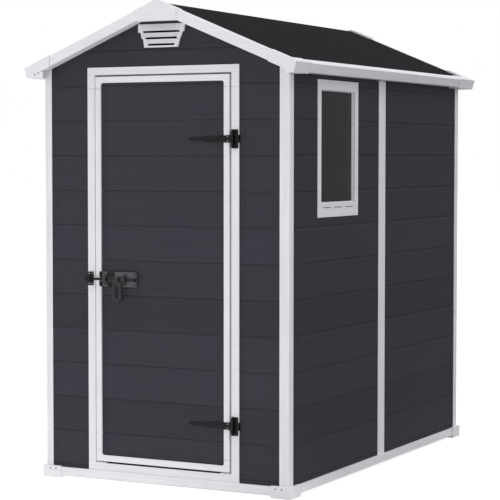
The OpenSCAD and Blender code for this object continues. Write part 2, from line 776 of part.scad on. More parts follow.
// Handle: a collar on the bolt with a slotted loop that hangs from it
module latch_handle() {
  half = handle_w / 2;
  loop_top = -collar_r;
  slot_half = handle_slot_w / 2;
  color(fitting_black) translate([handle_x, -bolt_y, latch_z]) difference() {
    union() {
      translate([-collar_w / 2, 0, 0]) rotate([0, 90, 0]) cylinder(collar_w, r = collar_r);
      along_y(-handle_t / 2, handle_t / 2) difference() {
        union() {
          rect([-collar_w / 2, loop_top - 1], [collar_w / 2, 0]);
          rect([-half, -handle_l + half], [half, loop_top]);
          translate([0, -handle_l + half]) circle(half);
        }
        rect([-slot_half, -handle_l + half], [slot_half, loop_top - 12]);
        translate([0, -handle_l + half]) circle(slot_half);
      }
    }
    translate([-collar_w, 0, 0]) rotate([0, 90, 0]) cylinder(2 * collar_w, r = bolt_r + bolt_play);
  }
}

floor_panels();  // floor
corner(1, -1) base_rail_end();  // base_rail_front
base_rail_end();  // base_rail_back
corner(-1, 1) base_rail_side();  // base_rail_left
base_rail_side();  // base_rail_right
for (sx = [-1, 1], sy = [-1, 1]) corner(sx, sy) foot();  // base_feet
corner(-1, -1) corner_post(post_narrow_w, post_w);  // corner_post_front_left
corner(1, -1) corner_post(post_w, post_narrow_w);  // corner_post_front_right
corner(-1, 1) corner_post(post_w, post_narrow_w);  // corner_post_back_left
corner_post(post_narrow_w, post_w);  // corner_post_back_right
for (s = [-1, 1]) corner(s, s) mid_post();  // mid_posts
corner(-1, 1) front_wall(post_narrow_w, midway);  // front_wall_left
front_wall(post_w, -midway);  // front_wall_right
corner(1, -1) gable(-midway);  // front_gable
back_wall();
gable(midway);  // back_gable
corner(-1, -1) side_wall(post_w, -midway);  // left_wall_front
corner(-1, 1) side_wall(post_narrow_w, midway);  // left_wall_back
right_wall_front();
side_wall(post_w, -midway);  // right_wall_back
window_frame();
window_pane();
door_place() door_frame_part(head_joint, frame_top);  // door_head
door_place() door_frame_part(sill_top, head_joint - seam);  // door_jambs
door_place() door_frame_part(base_z, sill_top);  // door_sill
corner(-1, 1) roof_panel();  // roof_panel_left
roof_panel();  // roof_panel_right
ridge_beam();
for (sx = [-1, 1]) corner(sx, -1) barge_board(true);  // front_barge_boards
for (sx = [-1, 1]) corner(sx, 1) barge_board(false);  // back_barge_boards
union() {  // gable_peak_covers
  corner(1, -1) peak_cover(rim);
  peak_cover(roof_top);
}
corner(-1, -1) eave_fascia();  // eave_fascia_left
eave_fascia();  // eave_fascia_right
for (s = [-1, 1]) {  // eave_corner_caps
  corner(s, s) corner_cap(cap_long_y, cap_long_box_w);
  corner(s, -s) corner_cap(cap_y, cap_box_w);
}
for (s = [-1, 1]) corner(1, s) translate([s * midway, 0, 0]) gable_vent();  // gable_vents
door_place() for (z = hinge_zs) hinge_plate(z);  // hinge_plates
door_place() latch_keeper();
door_place() door_panel();
door_place() door_edge(door_foot + rail_leg + seam, door_top - rail_leg - seam);  // door_stiles
door_place() {  // door_rails
  door_edge(door_foot, door_foot + rail_leg);
  door_edge(door_top - rail_leg, door_top);
}
door_place() for (z = hinge_zs) hinge_strap(z);  // hinge_straps
door_place() latch_plate();
door_place() for (x = [guide_a, guide_b]) latch_guide(x);  // latch_guides
door_place() latch_bolt();
door_place() latch_handle();
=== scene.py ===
"""Looks of a compact resin garden shed: plank-look panels, white trim, black fittings, a clear pane."""
import json
import math

import bmesh
import bpy
from mathutils import Matrix, Vector


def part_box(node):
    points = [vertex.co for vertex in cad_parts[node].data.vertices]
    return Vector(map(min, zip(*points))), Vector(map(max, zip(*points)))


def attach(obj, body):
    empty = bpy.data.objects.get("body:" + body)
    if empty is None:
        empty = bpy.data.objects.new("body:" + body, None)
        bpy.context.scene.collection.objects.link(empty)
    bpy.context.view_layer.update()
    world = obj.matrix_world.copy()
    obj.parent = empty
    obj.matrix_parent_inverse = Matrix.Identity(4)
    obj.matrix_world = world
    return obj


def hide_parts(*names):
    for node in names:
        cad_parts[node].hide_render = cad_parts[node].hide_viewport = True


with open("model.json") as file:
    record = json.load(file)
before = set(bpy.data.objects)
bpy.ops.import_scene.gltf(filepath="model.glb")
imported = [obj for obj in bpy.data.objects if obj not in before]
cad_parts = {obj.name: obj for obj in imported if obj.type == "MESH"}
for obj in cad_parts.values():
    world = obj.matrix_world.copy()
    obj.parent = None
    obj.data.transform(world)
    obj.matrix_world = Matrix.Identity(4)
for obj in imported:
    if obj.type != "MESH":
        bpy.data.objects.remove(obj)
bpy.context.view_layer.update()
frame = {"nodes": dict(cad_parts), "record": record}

NODES = frame["nodes"]
SLOT_OF = {s["node"]: s["material_slot"] for s in frame["record"]["subparts"]}
BODY_OF = {n: b for b, members in frame["record"]["behaviour"]["bodies"].items() for n in members}
MM = 0.001
NO_STEP = NO_TURN = (0.0, 0.0, 0.0)

# Boards: their pitch, the height of the lowest joint, and the half width and depth of a joint's two cuts. A joint
# closer than END_CLEAR to a panel's top or foot is left out
BOARD_PITCH, FIRST_GROOVE, END_CLEAR = 141.9 * MM, 60.5 * MM, 10 * MM
GROOVE_EASE, GROOVE_CORE = (8.5 * MM, 1.8 * MM), (1.8 * MM, 3.2 * MM)
# Line inside a panel's upright edges: its half width and depth, and how far in it is, or further behind a post
MARGIN_LINE, MARGIN_IN, BEHIND_POST = (2.4 * MM, 0.9 * MM), 26 * MM, 10 * MM
# Cuts that run past both ends of a panel or post: their lengths, and the height of their middle
LONG_CUT, TALL_CUT, MID_Z = 4.0, 5.0, 1.0
# Distance under which corners of a mesh count as one
WELD = 0.01 * MM
# Faces that bend less than this count as one, and edges that bend more than this are rounded
FLAT_UNDER, ROUND_OVER = math.radians(1), math.radians(32)

# Camera as fitted to the photograph's straight edges
CAMERA_AT = (3.6107, -7.1333, 1.3312)
CAMERA_YAW, CAMERA_PITCH, CAMERA_ROLL = 27.349, -2.960, 0.03
CAMERA_LENS, CAMERA_SENSOR, CAMERA_FAR = 129.15, 36.0, 200.0

# Brightness of the studio's room: at its sides, lost towards its ends, overhead, and at the least
ROOM_BASE, ROOM_ENDS, ROOM_TOP, ROOM_LEAST = 1.2, 2.6, 1.0, 0.30
ROOM_COLOUR = (1.0, 0.99, 1.01, 1.0)
# Paper on the floor: its colour in front and beside, where x + y passes from one to the other, the extra light
# with which the camera sees it, and half its width
PAPER_FRONT, PAPER_SIDE, PAPER_TURN = "#bcbcbd", "#88888a", (-1.0, 0.2)
PAPER_SEEN, PAPER_HALF = 0.86, 60.0
# Light that the white sheet in front of the door throws up under the gable
SHEET_LIFT = 0.56
# Extra light from the paper close to the shed's foot, how far out it reaches, and half the foot's width and depth
FOOT_LIFT, FOOT_REACH, FOOT_HALF = 0.20, 0.7, {"X": 0.57, "Y": 0.91}
# Lamp in front: where it hangs, the point it is aimed at, its width and its power in watts
LAMP_AT, LAMP_AIM, LAMP_SIZE, LAMP_POWER = (-1.5, -10.0, 5.0), (0.0, 0.0, 1.0), 5.0, 92.0


def linear(hexa):
    """An sRGB hex colour as linear red, green, blue and alpha."""
    srgb = [int(hexa[i:i + 2], 16) / 255 for i in (1, 3, 5)]
    return tuple(c / 12.92 if c <= 0.04045 else ((c + 0.055) / 1.055) ** 2.4 for c in srgb) + (1.0,)


def add(tree, kind, links=None, **settings):
    """Adds a node. links gives each input, by name or place, a value or another node's output."""
    made = tree.nodes.new(kind)
    for name, value in settings.items():
        setattr(made, name, value)
    for name, value in (links or {}).items():
        if isinstance(value, bpy.types.NodeSocket):
            tree.links.new(value, made.inputs[name])
        else:
            made.inputs[name].default_value = value
    return made


def reckon(tree, operation, *values):
    """One step of arithmetic on numbers or other nodes' outputs."""
    return add(tree, "ShaderNodeMath", dict(enumerate(values)), operation=operation).outputs[0]


def ranged(tree, value, low, high, start=0.0, stop=1.0):
    """A value that goes from start to stop, brought to lie from low to high."""
    return add(tree, "ShaderNodeMapRange", {
        "Value": value, "From Min": start, "From Max": stop, "To Min": low, "To Max": high}).outputs[0]


def blend(tree, factor, *ends):
    """A colour between two, each an sRGB hex colour or another node's output."""
    first, last = (linear(end) if isinstance(end, str) else end for end in ends)
    return add(tree, "ShaderNodeMix", {"Factor": factor, 6: first, 7: last}, data_type="RGBA").outputs[2]


def noise(tree, place, scale, detail, **more):
    """Cloudy noise with scale clouds a metre."""
    return add(tree, "ShaderNodeTexNoise", {
        "Vector": place, "Scale": scale, "Detail": detail, **more}).outputs["Fac"]


def drawn(tree, place, scale):
    """Coordinates stretched by their own scale along each axis, for streaks."""
    return add(tree, "ShaderNodeMapping", {"Vector": place, "Scale": scale}).outputs[0]


def surface(name, **sockets):
    """A new material, its tree, its shader with constants on the shader's own sockets, and Object coordinates."""
    made = bpy.data.materials.new(name)
    made.use_nodes = True
    tree = made.node_tree
    tree.nodes.clear()
    shader = add(tree, "ShaderNodeBsdfPrincipled", sockets)
    add(tree, "ShaderNodeOutputMaterial", {"Surface": shader.outputs["BSDF"]})
    place = add(tree, "ShaderNodeTexCoord").outputs["Object"]
    return made, tree, shader, place


def dress(tree, shader, colour, rough):
    """Gives a shader its colour and its roughness."""
    tree.links.new(colour, shader.inputs["Base Color"])
    tree.links.new(rough, shader.inputs["Roughness"])


def emboss(tree, shader, height, strength, depth):
    """Gives a shader a fine relief."""
    bump = add(tree, "ShaderNodeBump", {"Strength": strength, "Distance": depth, "Height": height})
    tree.links.new(bump.outputs[0], shader.inputs["Normal"])


def plank_resin():
    """Polypropylene moulded against a wood-grained tool: a matt dark grey whose fine grain runs along the boards,
    with slightly different boards and faint cloudy toning from the recycled resin."""
    made, tree, shader, place = surface(
        "grained_polypropylene", **{"IOR": 1.49, "Specular IOR Level": 0.3})
    z = add(tree, "ShaderNodeSeparateXYZ", {0: place}).outputs["Z"]
    count = reckon(tree, "DIVIDE", reckon(tree, "SUBTRACT", z, FIRST_GROOVE), BOARD_PITCH)
    board = reckon(tree, "FLOOR", count)
    tone = add(tree, "ShaderNodeTexWhiteNoise", {"W": board}, noise_dimensions="1D").outputs["Value"]
    # Clouds about 250 mm across, grain streaks 4 mm high and 160 mm long, pores 1.5 mm high drawn coarse to show
    clouds = noise(tree, place, 4.0, 3.0)
    grain = noise(tree, drawn(tree, place, (6.0, 6.0, 250.0)), 1.0, 5.0, Roughness=0.6)
    pores = noise(tree, drawn(tree, place, (30.0, 30.0, 650.0)), 1.0, 2.0)
    boards = ranged(tree, tone, 0.90, 1.12)
    streaks = ranged(tree, grain, 0.86, 1.14, 0.3, 0.7)
    colour = add(tree, "ShaderNodeVectorMath", {
        0: blend(tree, clouds, "#2c2f37", "#312f39"), "Scale": reckon(tree, "MULTIPLY", boards, streaks)},
        operation="SCALE").outputs[0]
    dress(tree, shader, colour, ranged(tree, pores, 0.52, 0.72))
    emboss(tree, shader, reckon(tree, "ADD", grain, pores), 0.35, 0.8 * MM)
    return made


def trim_resin(name, grain):
    """Glossier white polypropylene drawn along its length: clean satin faces with faint streaks along the grain,
    an orange-peel ripple, a slight cool unevenness, and a little dust low down. grain is in streaks a metre,
    each way."""
    made, tree, shader, place = surface(name, **{"IOR": 1.49, "Specular IOR Level": 0.4})
    clouds = noise(tree, place, 7.0, 4.0)
    streaks = noise(tree, drawn(tree, place, grain), 1.0, 3.0, Roughness=0.6)
    uneven = reckon(tree, "ADD", clouds, ranged(tree, streaks, -0.5, 0.5, 0.25, 0.75))
    white = blend(tree, uneven, "#e2e2e7", "#f0eff1")
    # Dust lies in specks up to 90 mm from the ground
    z = add(tree, "ShaderNodeSeparateXYZ", {0: place}).outputs["Z"]
    dust = reckon(tree, "MULTIPLY", ranged(tree, z, 0.16, 0.0, 0.0, 0.09), noise(tree, place, 60.0, 3.0))
    dress(tree, shader, blend(tree, dust, white, "#b9b4ac"), ranged(tree, clouds, 0.36, 0.48))
    # Orange peel is about 2 mm across; drawn at 3 mm so that it shows
    emboss(tree, shader, noise(tree, place, 330.0, 1.0), 0.12, 0.3 * MM)
    return made


def roof_resin():
    """Charcoal polypropylene with a spark-eroded grain: very matt, with fine pits and faint weathering down the
    slope."""
    made, tree, shader, place = surface(
        "pitted_charcoal_polypropylene", **{"IOR": 1.2, "Specular IOR Level": 0.3})
    wash = noise(tree, drawn(tree, place, (3.0, 22.0, 3.0)), 1.0, 4.0)
    pits = noise(tree, place, 260.0, 3.0)
    dress(tree, shader, blend(tree, wash, "#191719", "#211f22"), ranged(tree, pits, 0.8, 0.98))
    emboss(tree, shader, pits, 0.4, 0.6 * MM)
    return made


def floor_resin():
    """Mid-grey moulded polypropylene with a fine anti-slip grain and scuffs."""
    made, tree, shader, place = surface(
        "anti_slip_polypropylene", **{"IOR": 1.49, "Specular IOR Level": 0.3})
    scuffs = noise(tree, place, 9.0, 6.0, Roughness=0.7)
    dress(tree, shader, blend(tree, scuffs, "#48484c", "#626266"), ranged(tree, scuffs, 0.5, 0.7))
    grit = add(tree, "ShaderNodeTexVoronoi", {"Vector": place, "Scale": 170.0}).outputs["Distance"]
    emboss(tree, shader, grit, 0.4, 0.8 * MM)
    return made


def powder_coat(name, dark, light):
    """Powder coat on steel, also used as a black painted shade and as a lightened painted highlight: a satin skin
    with a fine pebble, a little lighter where rubbed.
    """
    made, tree, shader, place = surface(name, **{"IOR": 1.5, "Specular IOR Level": 0.25})
    rub = noise(tree, place, 45.0, 4.0)
    dress(tree, shader, blend(tree, rub, dark, light), ranged(tree, rub, 0.34, 0.5))
    emboss(tree, shader, noise(tree, place, 900.0, 1.0), 0.25, 0.15 * MM)
    return made


def zinc_steel(name, light, dark):
    """Hot-dip galvanised or zinc-plated steel: bright grey metal broken into crystal spangles."""
    made, tree, shader, place = surface(name, **{"Metallic": 1.0})
    spangle = add(tree, "ShaderNodeTexVoronoi", {"Vector": place, "Scale": 110.0}).outputs["Color"]
    value = add(tree, "ShaderNodeSeparateColor", {0: spangle}).outputs[0]
    dress(tree, shader, blend(tree, value, dark, light), ranged(tree, value, 0.3, 0.48))
    return made


def clear_sheet():
    """Extruded clear polystyrene sheet: glossy and see-through, with faint draw lines down it."""
    made, tree, shader, place = surface("extruded_clear_sheet", **{
        "IOR": 1.36, "Transmission Weight": 1.0, "Roughness": 0.06, "Base Color": linear("#908a95")})
    emboss(tree, shader, noise(tree, drawn(tree, place, (40.0, 40.0, 1.5)), 1.0, 3.0), 0.15, 0.5 * MM)
    return made


PLANK, ROOF, FLOOR, PANE = plank_resin(), roof_resin(), floor_resin(), clear_sheet()
TRIM = trim_resin("white_polypropylene_drawn_level", (3.0, 3.0, 160.0))
UPRIGHT = trim_resin("white_polypropylene_drawn_upright", (160.0, 160.0, 3.0))
FITTING = powder_coat("black_powder_coat", "#0a0a0c", "#151517")
PLATE = powder_coat("grey_powder_coat", "#545256", "#605e62")
# Latch handle and guides: black lightened to dark grey, a painted highlight standing in for the light that catches
# the handle's rim and the guides' feet
HIGHLIT_BLACK = powder_coat("black_powder_coat_with_painted_highlight", "#232325", "#424245")
# Black of the sill strip: painted shade for the shadowed gap under the door
GAP_SHADE_BLACK = powder_coat("black_painted_gap_shade", "#060607", "#0c0c0d")
BEAM = zinc_steel("galvanised_steel", "#c4c7ca", "#8f9396")
SCREW = zinc_steel("zinc_plated_steel", "#b9babb", "#929496")
BY_SLOT = {"trim_white": TRIM, "plank_grey": PLANK, "roof_charcoal": ROOF, "floor_grey": FLOOR,
           "fitting_black": FITTING, "beam_steel": BEAM, "pane_clear": PANE}
OWN_FINISH = {"latch_plate": PLATE, "latch_guides": HIGHLIT_BLACK, "latch_handle": HIGHLIT_BLACK,
              "door_jambs": UPRIGHT, "door_stiles": UPRIGHT}

replaced = set()


def stands_in(made, node):
    """Says that a piece takes the place of a CAD node."""
    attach(made, BODY_OF[node])
    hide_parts(node)
    replaced.add(node)


def placed(name, data):
    """A new object in the scene."""
    made = bpy.data.objects.new(name, data)
    bpy.context.scene.collection.objects.link(made)
    return made


def cleaned(mesh):
    """Merges a mesh's doubles and takes out its slivers."""
    bm = bmesh.new()
    bm.from_mesh(mesh)
    bmesh.ops.remove_doubles(bm, verts=bm.verts, dist=WELD)
    bmesh.ops.dissolve_degenerate(bm, edges=bm.edges, dist=WELD)
    bm.to_mesh(mesh)
    bm.free()
    return mesh


def welded_copy(node, name):
    """A CAD node's solid as a new object with its doubles merged."""
    made = placed(name, cleaned(NODES[node].data.copy()))
    made.data.materials.clear()
    return made


def eased(piece, width):
    """Rounds a piece's edges as moulding or pressing leaves them."""
    weld = piece.modifiers.new("weld", "WELD")
    weld.merge_threshold = WELD
    flat = piece.modifiers.new("flat", "DECIMATE")
    flat.decimate_type = "DISSOLVE"
    flat.angle_limit = FLAT_UNDER
    ease = piece.modifiers.new("ease", "BEVEL")
    ease.width = width
    ease.segments = 2
    ease.limit_method = "ANGLE"
    ease.angle_limit = ROUND_OVER


WHOLE, NUMBER, ARROW, FINISH = "NodeSocketInt", "NodeSocketFloat", "NodeSocketVector", "NodeSocketMaterial"


def new_tree(name, inputs):
    """A Geometry Nodes tree with named inputs, its group input, and the identifier of each input."""
    tree = bpy.data.node_groups.new(name, "GeometryNodeTree")
    tree.interface.new_socket("Geometry", in_out="INPUT", socket_type="NodeSocketGeometry")
    ids = {label: tree.interface.new_socket(label, in_out="INPUT", socket_type=kind).identifier
           for label, kind in inputs.items()}
    tree.interface.new_socket("Geometry", in_out="OUTPUT", socket_type="NodeSocketGeometry")
    return tree, add(tree, "NodeGroupInput").outputs, ids


def point(tree, **xyz):
    """A vector from its parts."""
    return add(tree, "ShaderNodeCombineXYZ", xyz).outputs[0]


def row(tree, count, start, step):
    """Points in a row."""
    return add(tree, "GeometryNodeMeshLine", {
        "Count": count, "Start Location": start, "Offset": step}).outputs[0]


def shaped(tree, solid, **how):
    """A shape moved, turned or scaled."""
    return add(tree, "GeometryNodeTransform", {"Geometry": solid, **how}).outputs[0]


def on_points(tree, points, shape, **how):
    """A copy of a shape on every point."""
    copies = add(tree, "GeometryNodeInstanceOnPoints", {"Points": points, "Instance": shape, **how}).outputs[0]
    return add(tree, "GeometryNodeRealizeInstances", {"Geometry": copies}).outputs[0]


def cut(tree, solid, cutters):
    """A solid less what the cutters take out of it."""
    return add(tree, "GeometryNodeMeshBoolean", {0: solid, 1: cutters},
               operation="DIFFERENCE", solver="MANIFOLD").outputs[0]


def ended(tree, given, solid):
    """Ends a tree with real geometry in the finish that was given."""
    whole = add(tree, "GeometryNodeRealizeInstances", {"Geometry": solid}).outputs[0]
    done = add(tree, "GeometryNodeSetMaterial", {"Geometry": whole, "Material": given["Finish"]}).outputs[0]
    add(tree, "NodeGroupOutput", {"Geometry": done})


def grown(made, tree, ids, values):
    """Runs a tree on an object and leaves the result as its plain mesh."""
    mod = made.modifiers.new(tree.name, "NODES")
    mod.node_group = tree
    for label, value in values.items():
        mod[ids[label]] = value
    deps = bpy.context.evaluated_depsgraph_get()
    mesh = bpy.data.meshes.new_from_object(made.evaluated_get(deps), depsgraph=deps)
    made.modifiers.remove(mod)
    made.data = cleaned(mesh)
    return made


def plank_tree():
    """Cuts eased joints between the boards, and a fine line inside the panel's two upright edges."""
    tree, given, ids = new_tree("plank_panel", {
        "Joints": WHOLE, "First joint": NUMBER, "Pitch": NUMBER, "Length": NUMBER, "Face": NUMBER, "Turn": NUMBER,
        "Line from": NUMBER, "Line to": NUMBER, "Lines": WHOLE, "Finish": FINISH})
    face_y = reckon(tree, "MULTIPLY", given["Face"], -1.0)
    joints = row(tree, given["Joints"], point(tree, Y=face_y, Z=given["First joint"]),
                 point(tree, Z=given["Pitch"]))
    gap = reckon(tree, "SUBTRACT", given["Line to"], given["Line from"])
    lines = row(tree, given["Lines"], point(tree, X=given["Line from"], Y=face_y, Z=MID_Z), point(tree, X=gap))
    turn = point(tree, Z=given["Turn"])
    solid = given["Geometry"]
    for points, (half, depth), upright in (
            (joints, GROOVE_EASE, False), (joints, GROOVE_CORE, False), (lines, MARGIN_LINE, True)):
        bar = add(tree, "GeometryNodeMeshCylinder", {
            "Vertices": 4, "Radius": 1.0, "Depth": given["Length"]}).outputs["Mesh"]
        laid = shaped(tree, bar, Rotation=NO_TURN if upright else (0.0, math.pi / 2, 0.0))
        sized = shaped(tree, laid, Scale=(half, depth, 1.0) if upright else (1.0, depth, half))
        solid = cut(tree, solid, shaped(tree, on_points(tree, points, sized), Rotation=turn))
    ended(tree, given, solid)
    return tree, ids


def cut_tree():
    """Cuts a row of alike boxes out of a solid: slots, flutes and rebates."""
    tree, given, ids = new_tree("cut_row", {
        "Count": WHOLE, "From": ARROW, "Step": ARROW, "Size": ARROW, "Turn": ARROW, "Finish": FINISH})
    box = add(tree, "GeometryNodeMeshCube", {"Size": given["Size"]}).outputs["Mesh"]
    boxes = on_points(tree, row(tree, given["Count"], given["From"], given["Step"]),
                      shaped(tree, box, Rotation=given["Turn"]))
    ended(tree, given, cut(tree, given["Geometry"], boxes))
    return tree, ids


# A screw head in radii: its dome's height, and the length, depth and width of the bars that cut its cross
DOME_FLAT, CROSS_LONG, CROSS_DEEP, CROSS_WIDE = 0.45, 1.1, 0.5, 0.22


def screw_tree():
    """Sets a domed, cross-slotted screw head on every point, facing the front."""
    tree, given, ids = new_tree("screw_heads", {"Radius": NUMBER, "Finish": FINISH})
    ball = add(tree, "GeometryNodeMeshUVSphere", {"Segments": 20, "Rings": 10, "Radius": 1.0}).outputs["Mesh"]
    head = shaped(tree, ball, Scale=(1.0, DOME_FLAT, 1.0))
    for size in ((CROSS_LONG, CROSS_DEEP, CROSS_WIDE), (CROSS_WIDE, CROSS_DEEP, CROSS_LONG)):
        bar = add(tree, "GeometryNodeMeshCube", {"Size": size}).outputs["Mesh"]
        head = cut(tree, head, shaped(tree, bar, Translation=(0.0, -DOME_FLAT, 0.0)))
    radius = given["Radius"]
    ended(tree, given, on_points(tree, given["Geometry"], head, Scale=point(tree, X=radius, Y=radius, Z=radius)))
    return tree, ids


plank_panel, plank_ids = plank_tree()
cut_row, cut_ids = cut_tree()
screw_heads, screw_ids = screw_tree()

# Each plank panel with the side of the shed it faces: 0 front, 1 right, 2 back, 3 left
PANELS = {"front_wall_left": 0, "front_wall_right": 0, "front_gable": 0, "door_panel": 0, "right_wall_front": 1,
          "right_wall_back": 1, "back_wall": 2, "back_gable": 2, "left_wall_front": 3, "left_wall_back": 3}
for node, side in PANELS.items():
    low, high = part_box(node)
    face = (-low.y, high.x, high.y, -low.x)[side]
    ends = ((low.x, high.x), (low.y, high.y), (-high.x, -low.x), (-high.y, -low.y))[side]
    skip = max(0, math.ceil((low.z + END_CLEAR - FIRST_GROOVE) / BOARD_PITCH))
    joints = math.floor((high.z - END_CLEAR - FIRST_GROOVE) / BOARD_PITCH) - skip + 1
    edge = MARGIN_IN if node == "door_panel" else MARGIN_IN + BEHIND_POST
    panel = welded_copy(node, "planks_" + node)
    grown(panel, plank_panel, plank_ids, {
        "Joints": joints, "First joint": FIRST_GROOVE + skip * BOARD_PITCH, "Pitch": BOARD_PITCH,
        "Length": LONG_CUT, "Face": face, "Turn": side * math.pi / 2, "Line from": ends[0] + edge,
        "Line to": ends[1] - edge, "Lines": 0 if "gable" in node else 2, "Finish": PLANK})
    stands_in(panel, node)


def refined(node, name, finish, cuts, width):
    """A CAD node's copy with rows of boxes cut out of it, which stands in for the node. Each row has a count, its
    first middle, its step, and its boxes' size and turn."""
    made = welded_copy(node, name)
    for count, start, step, size, turn in cuts:
        grown(made, cut_row, cut_ids, {
            "Count": count, "From": start, "Step": step, "Size": size, "Turn": turn, "Finish": finish})
    eased(made, width)
    stands_in(made, node)


# Posts: fine flutes run up their faces
FLUTE, FLUTE_PITCH, POST_EASE = 1.7 * MM, 11 * MM, 0.5 * MM
FLUTE_SIZE, DIAMOND = (FLUTE, FLUTE, TALL_CUT), (0.0, 0.0, math.pi / 4)


def flutes(start, along, width):
    """A row of flutes across a face of the given width, from its edge at start."""
    count = int(width / FLUTE_PITCH) - 1
    first = (width - (count - 1) * FLUTE_PITCH) / 2
    way = Vector(along)
    return count, Vector(start) + way * first, way * FLUTE_PITCH, FLUTE_SIZE, DIAMOND


for node in NODES:
    if not node.startswith("corner_post"):
        continue
    low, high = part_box(node)
    end_y = low.y if low.y + high.y < 0 else high.y
    side_x = low.x if low.x + high.x < 0 else high.x
    refined(node, "fluted_" + node, UPRIGHT, [
        flutes((low.x, end_y, MID_Z), (1, 0, 0), high.x - low.x),
        flutes((side_x, low.y, MID_Z), (0, 1, 0), high.y - low.y)], POST_EASE)
low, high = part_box("mid_posts")
MID_COVER_W, MID_FLUTES, MID_APART = 70 * MM, 2, 22 * MM
refined("mid_posts", "fluted_mid_posts", UPRIGHT, [
    (MID_FLUTES, (x, y - MID_APART / 2, MID_Z), (0.0, MID_APART, 0.0), FLUTE_SIZE, DIAMOND)
    for x, y in ((high.x, low.y + MID_COVER_W / 2), (low.x, high.y - MID_COVER_W / 2))], POST_EASE)

# Window: its head and foot are slimmer than the CAD's, so the opening, its recess and the pane's rebate go further
# up and down, and each stile meets head and foot in a fine joint
HEAD_MORE, FOOT_MORE = 8 * MM, 7.5 * MM
PANE_HELD, BEAD_W, BEAD_SET, JOINT, THROUGH = 3 * MM, 4 * MM, 10 * MM, 1.2 * MM, 10 * MM
WINDOW_EASE, PANE_EASE = 0.38 * MM, 0.4 * MM
frame_low, frame_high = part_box("window_frame")
pane_low, pane_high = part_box("window_pane")
pane_mid_z = (pane_low.z + pane_high.z) / 2


def window_cut(x0, x1, grow):
    """A box through the window from x0 to x1, bigger than the pane's outline by grow, and further up and down."""
    low = Vector((x0, pane_low.y - grow, pane_low.z - grow - FOOT_MORE))
    high = Vector((x1, pane_high.y + grow, pane_high.z + grow + HEAD_MORE))
    return 1, (low + high) / 2, NO_STEP, high - low, NO_TURN


back, clear = frame_low.x - THROUGH, frame_high.x + THROUGH
joint_y = pane_low.y + PANE_HELD - 2 * JOINT
stile_gap = pane_high.y - pane_low.y - 2 * PANE_HELD + 4 * JOINT
refined("window_frame", "slim_window_frame", TRIM, [
    window_cut(frame_high.x - BEAD_SET, clear, -PANE_HELD),
    window_cut(back, clear, -PANE_HELD - BEAD_W),
    window_cut(back, pane_high.x, 0.0),
    (2, (frame_high.x, joint_y, MID_Z), (0.0, stile_gap, 0.0), (JOINT, JOINT, TALL_CUT), DIAMOND)], WINDOW_EASE)
pane = welded_copy("window_pane", "tall_window_pane")
for corner in pane.data.vertices:
    corner.co.z += HEAD_MORE if corner.co.z > pane_mid_z else -FOOT_MORE
pane.data.materials.append(PANE)
eased(pane, PANE_EASE)
stands_in(pane, "window_pane")

# Corner caps: a groove where each meets its fascia and its barge board, and three drain slots that climb along the
# front left one's slope. The eave's face leans out by 13 in 57
CAP_JOINT, BARGE_JOINT, CAP_JOINT_DEEP, CAP_IN = 2.2 * MM, 0.9 * MM, 4.0 * MM, 1.3 * MM
CAP_LONG, CAP_SHORT, BARGE_END = 838 * MM + CAP_IN, 791 * MM + CAP_IN, 500 * MM + CAP_IN
EAVE_LEAN, EAVE_X, EAVE_Z, EAVE_CUT = math.atan2(13, 57), 616 * MM, 1683 * MM, 100 * MM
BARGE_Z, BARGE_CUT, CAP_EASE = 1730 * MM, 200 * MM, 0.4 * MM
ROOF_SLOPE = math.radians(22.5)
DRAIN_FIRST, DRAIN_STEP = (-571.5 * MM, -973.0 * MM, 1669.5 * MM), (17.0 * MM, 0.0, 6.5 * MM)
DRAINS, DRAIN_SIZE = 3, (9.0 * MM, 24.0 * MM, 4.2 * MM)
cap_low, cap_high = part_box("eave_corner_caps")
drains = [(DRAINS, DRAIN_FIRST, DRAIN_STEP, DRAIN_SIZE, (0.0, -ROOF_SLOPE, 0.0))]
eave_joints = [
    (1, (side * EAVE_X, y, EAVE_Z), NO_STEP, (CAP_JOINT_DEEP, CAP_JOINT, EAVE_CUT),
     (0.0, side * EAVE_LEAN, 0.0))
    for side, y in ((1, -CAP_LONG), (-1, -CAP_SHORT), (-1, CAP_LONG), (1, CAP_SHORT))]
barge_joints = [
    (2, (-BARGE_END, y, BARGE_Z), (2 * BARGE_END, 0.0, 0.0), (BARGE_JOINT, CAP_JOINT_DEEP, BARGE_CUT), NO_TURN)
    for y in (cap_low.y, cap_high.y)]
refined("eave_corner_caps", "slotted_eave_corner_caps", TRIM, drains + eave_joints + barge_joints, CAP_EASE)

# Gable vents: between its cheeks each louvre's face falls back further than the CAD's, so it shades towards its
# top. Each louvre has its height, and the height over its foot where the fall starts
VENT_W, VENT_OFF, VENT_CHEEK, VENT_STEP, VENT_LIP = 217 * MM, 5 * MM, 21.5 * MM, 11.5 * MM, 4 * MM
LOUVRES = ((33 * MM, 4 * MM), (25.5 * MM, 4 * MM), (35 * MM, 13 * MM))
FALL_CAD, FALL, FALL_T, FALL_STOP, VENT_EASE = 5.5 * MM, 9.5 * MM, 20 * MM, 3 * MM, 0.5 * MM
vents_low, vents_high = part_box("gable_vents")
falls = []
for inward, lip_y in ((1, vents_low.y), (-1, vents_high.y)):
    top = vents_high.z
    for step, (tall, start) in enumerate(LOUVRES):
        begun = (start - VENT_LIP) / (tall - VENT_LIP) * FALL_CAD
        lean = math.atan2(FALL - begun, tall - start)
        long = (tall - start) / math.cos(lean) - (FALL_STOP if step else -FALL_STOP)
        along = Vector((0.0, inward * math.sin(lean), math.cos(lean)))
        outward = Vector((0.0, -inward * math.cos(lean), math.sin(lean)))
        foot = Vector((-inward * VENT_OFF, lip_y + inward * begun, top - tall + start))
        wide = VENT_W - 2 * VENT_CHEEK - 2 * step * VENT_STEP
        falls.append((1, foot + along * long / 2 + outward * FALL_T / 2, NO_STEP, (wide, FALL_T, long),
                      (-inward * lean, 0.0, 0.0)))
        top -= tall
refined("gable_vents", "recessed_gable_vents", TRIM, falls, VENT_EASE)


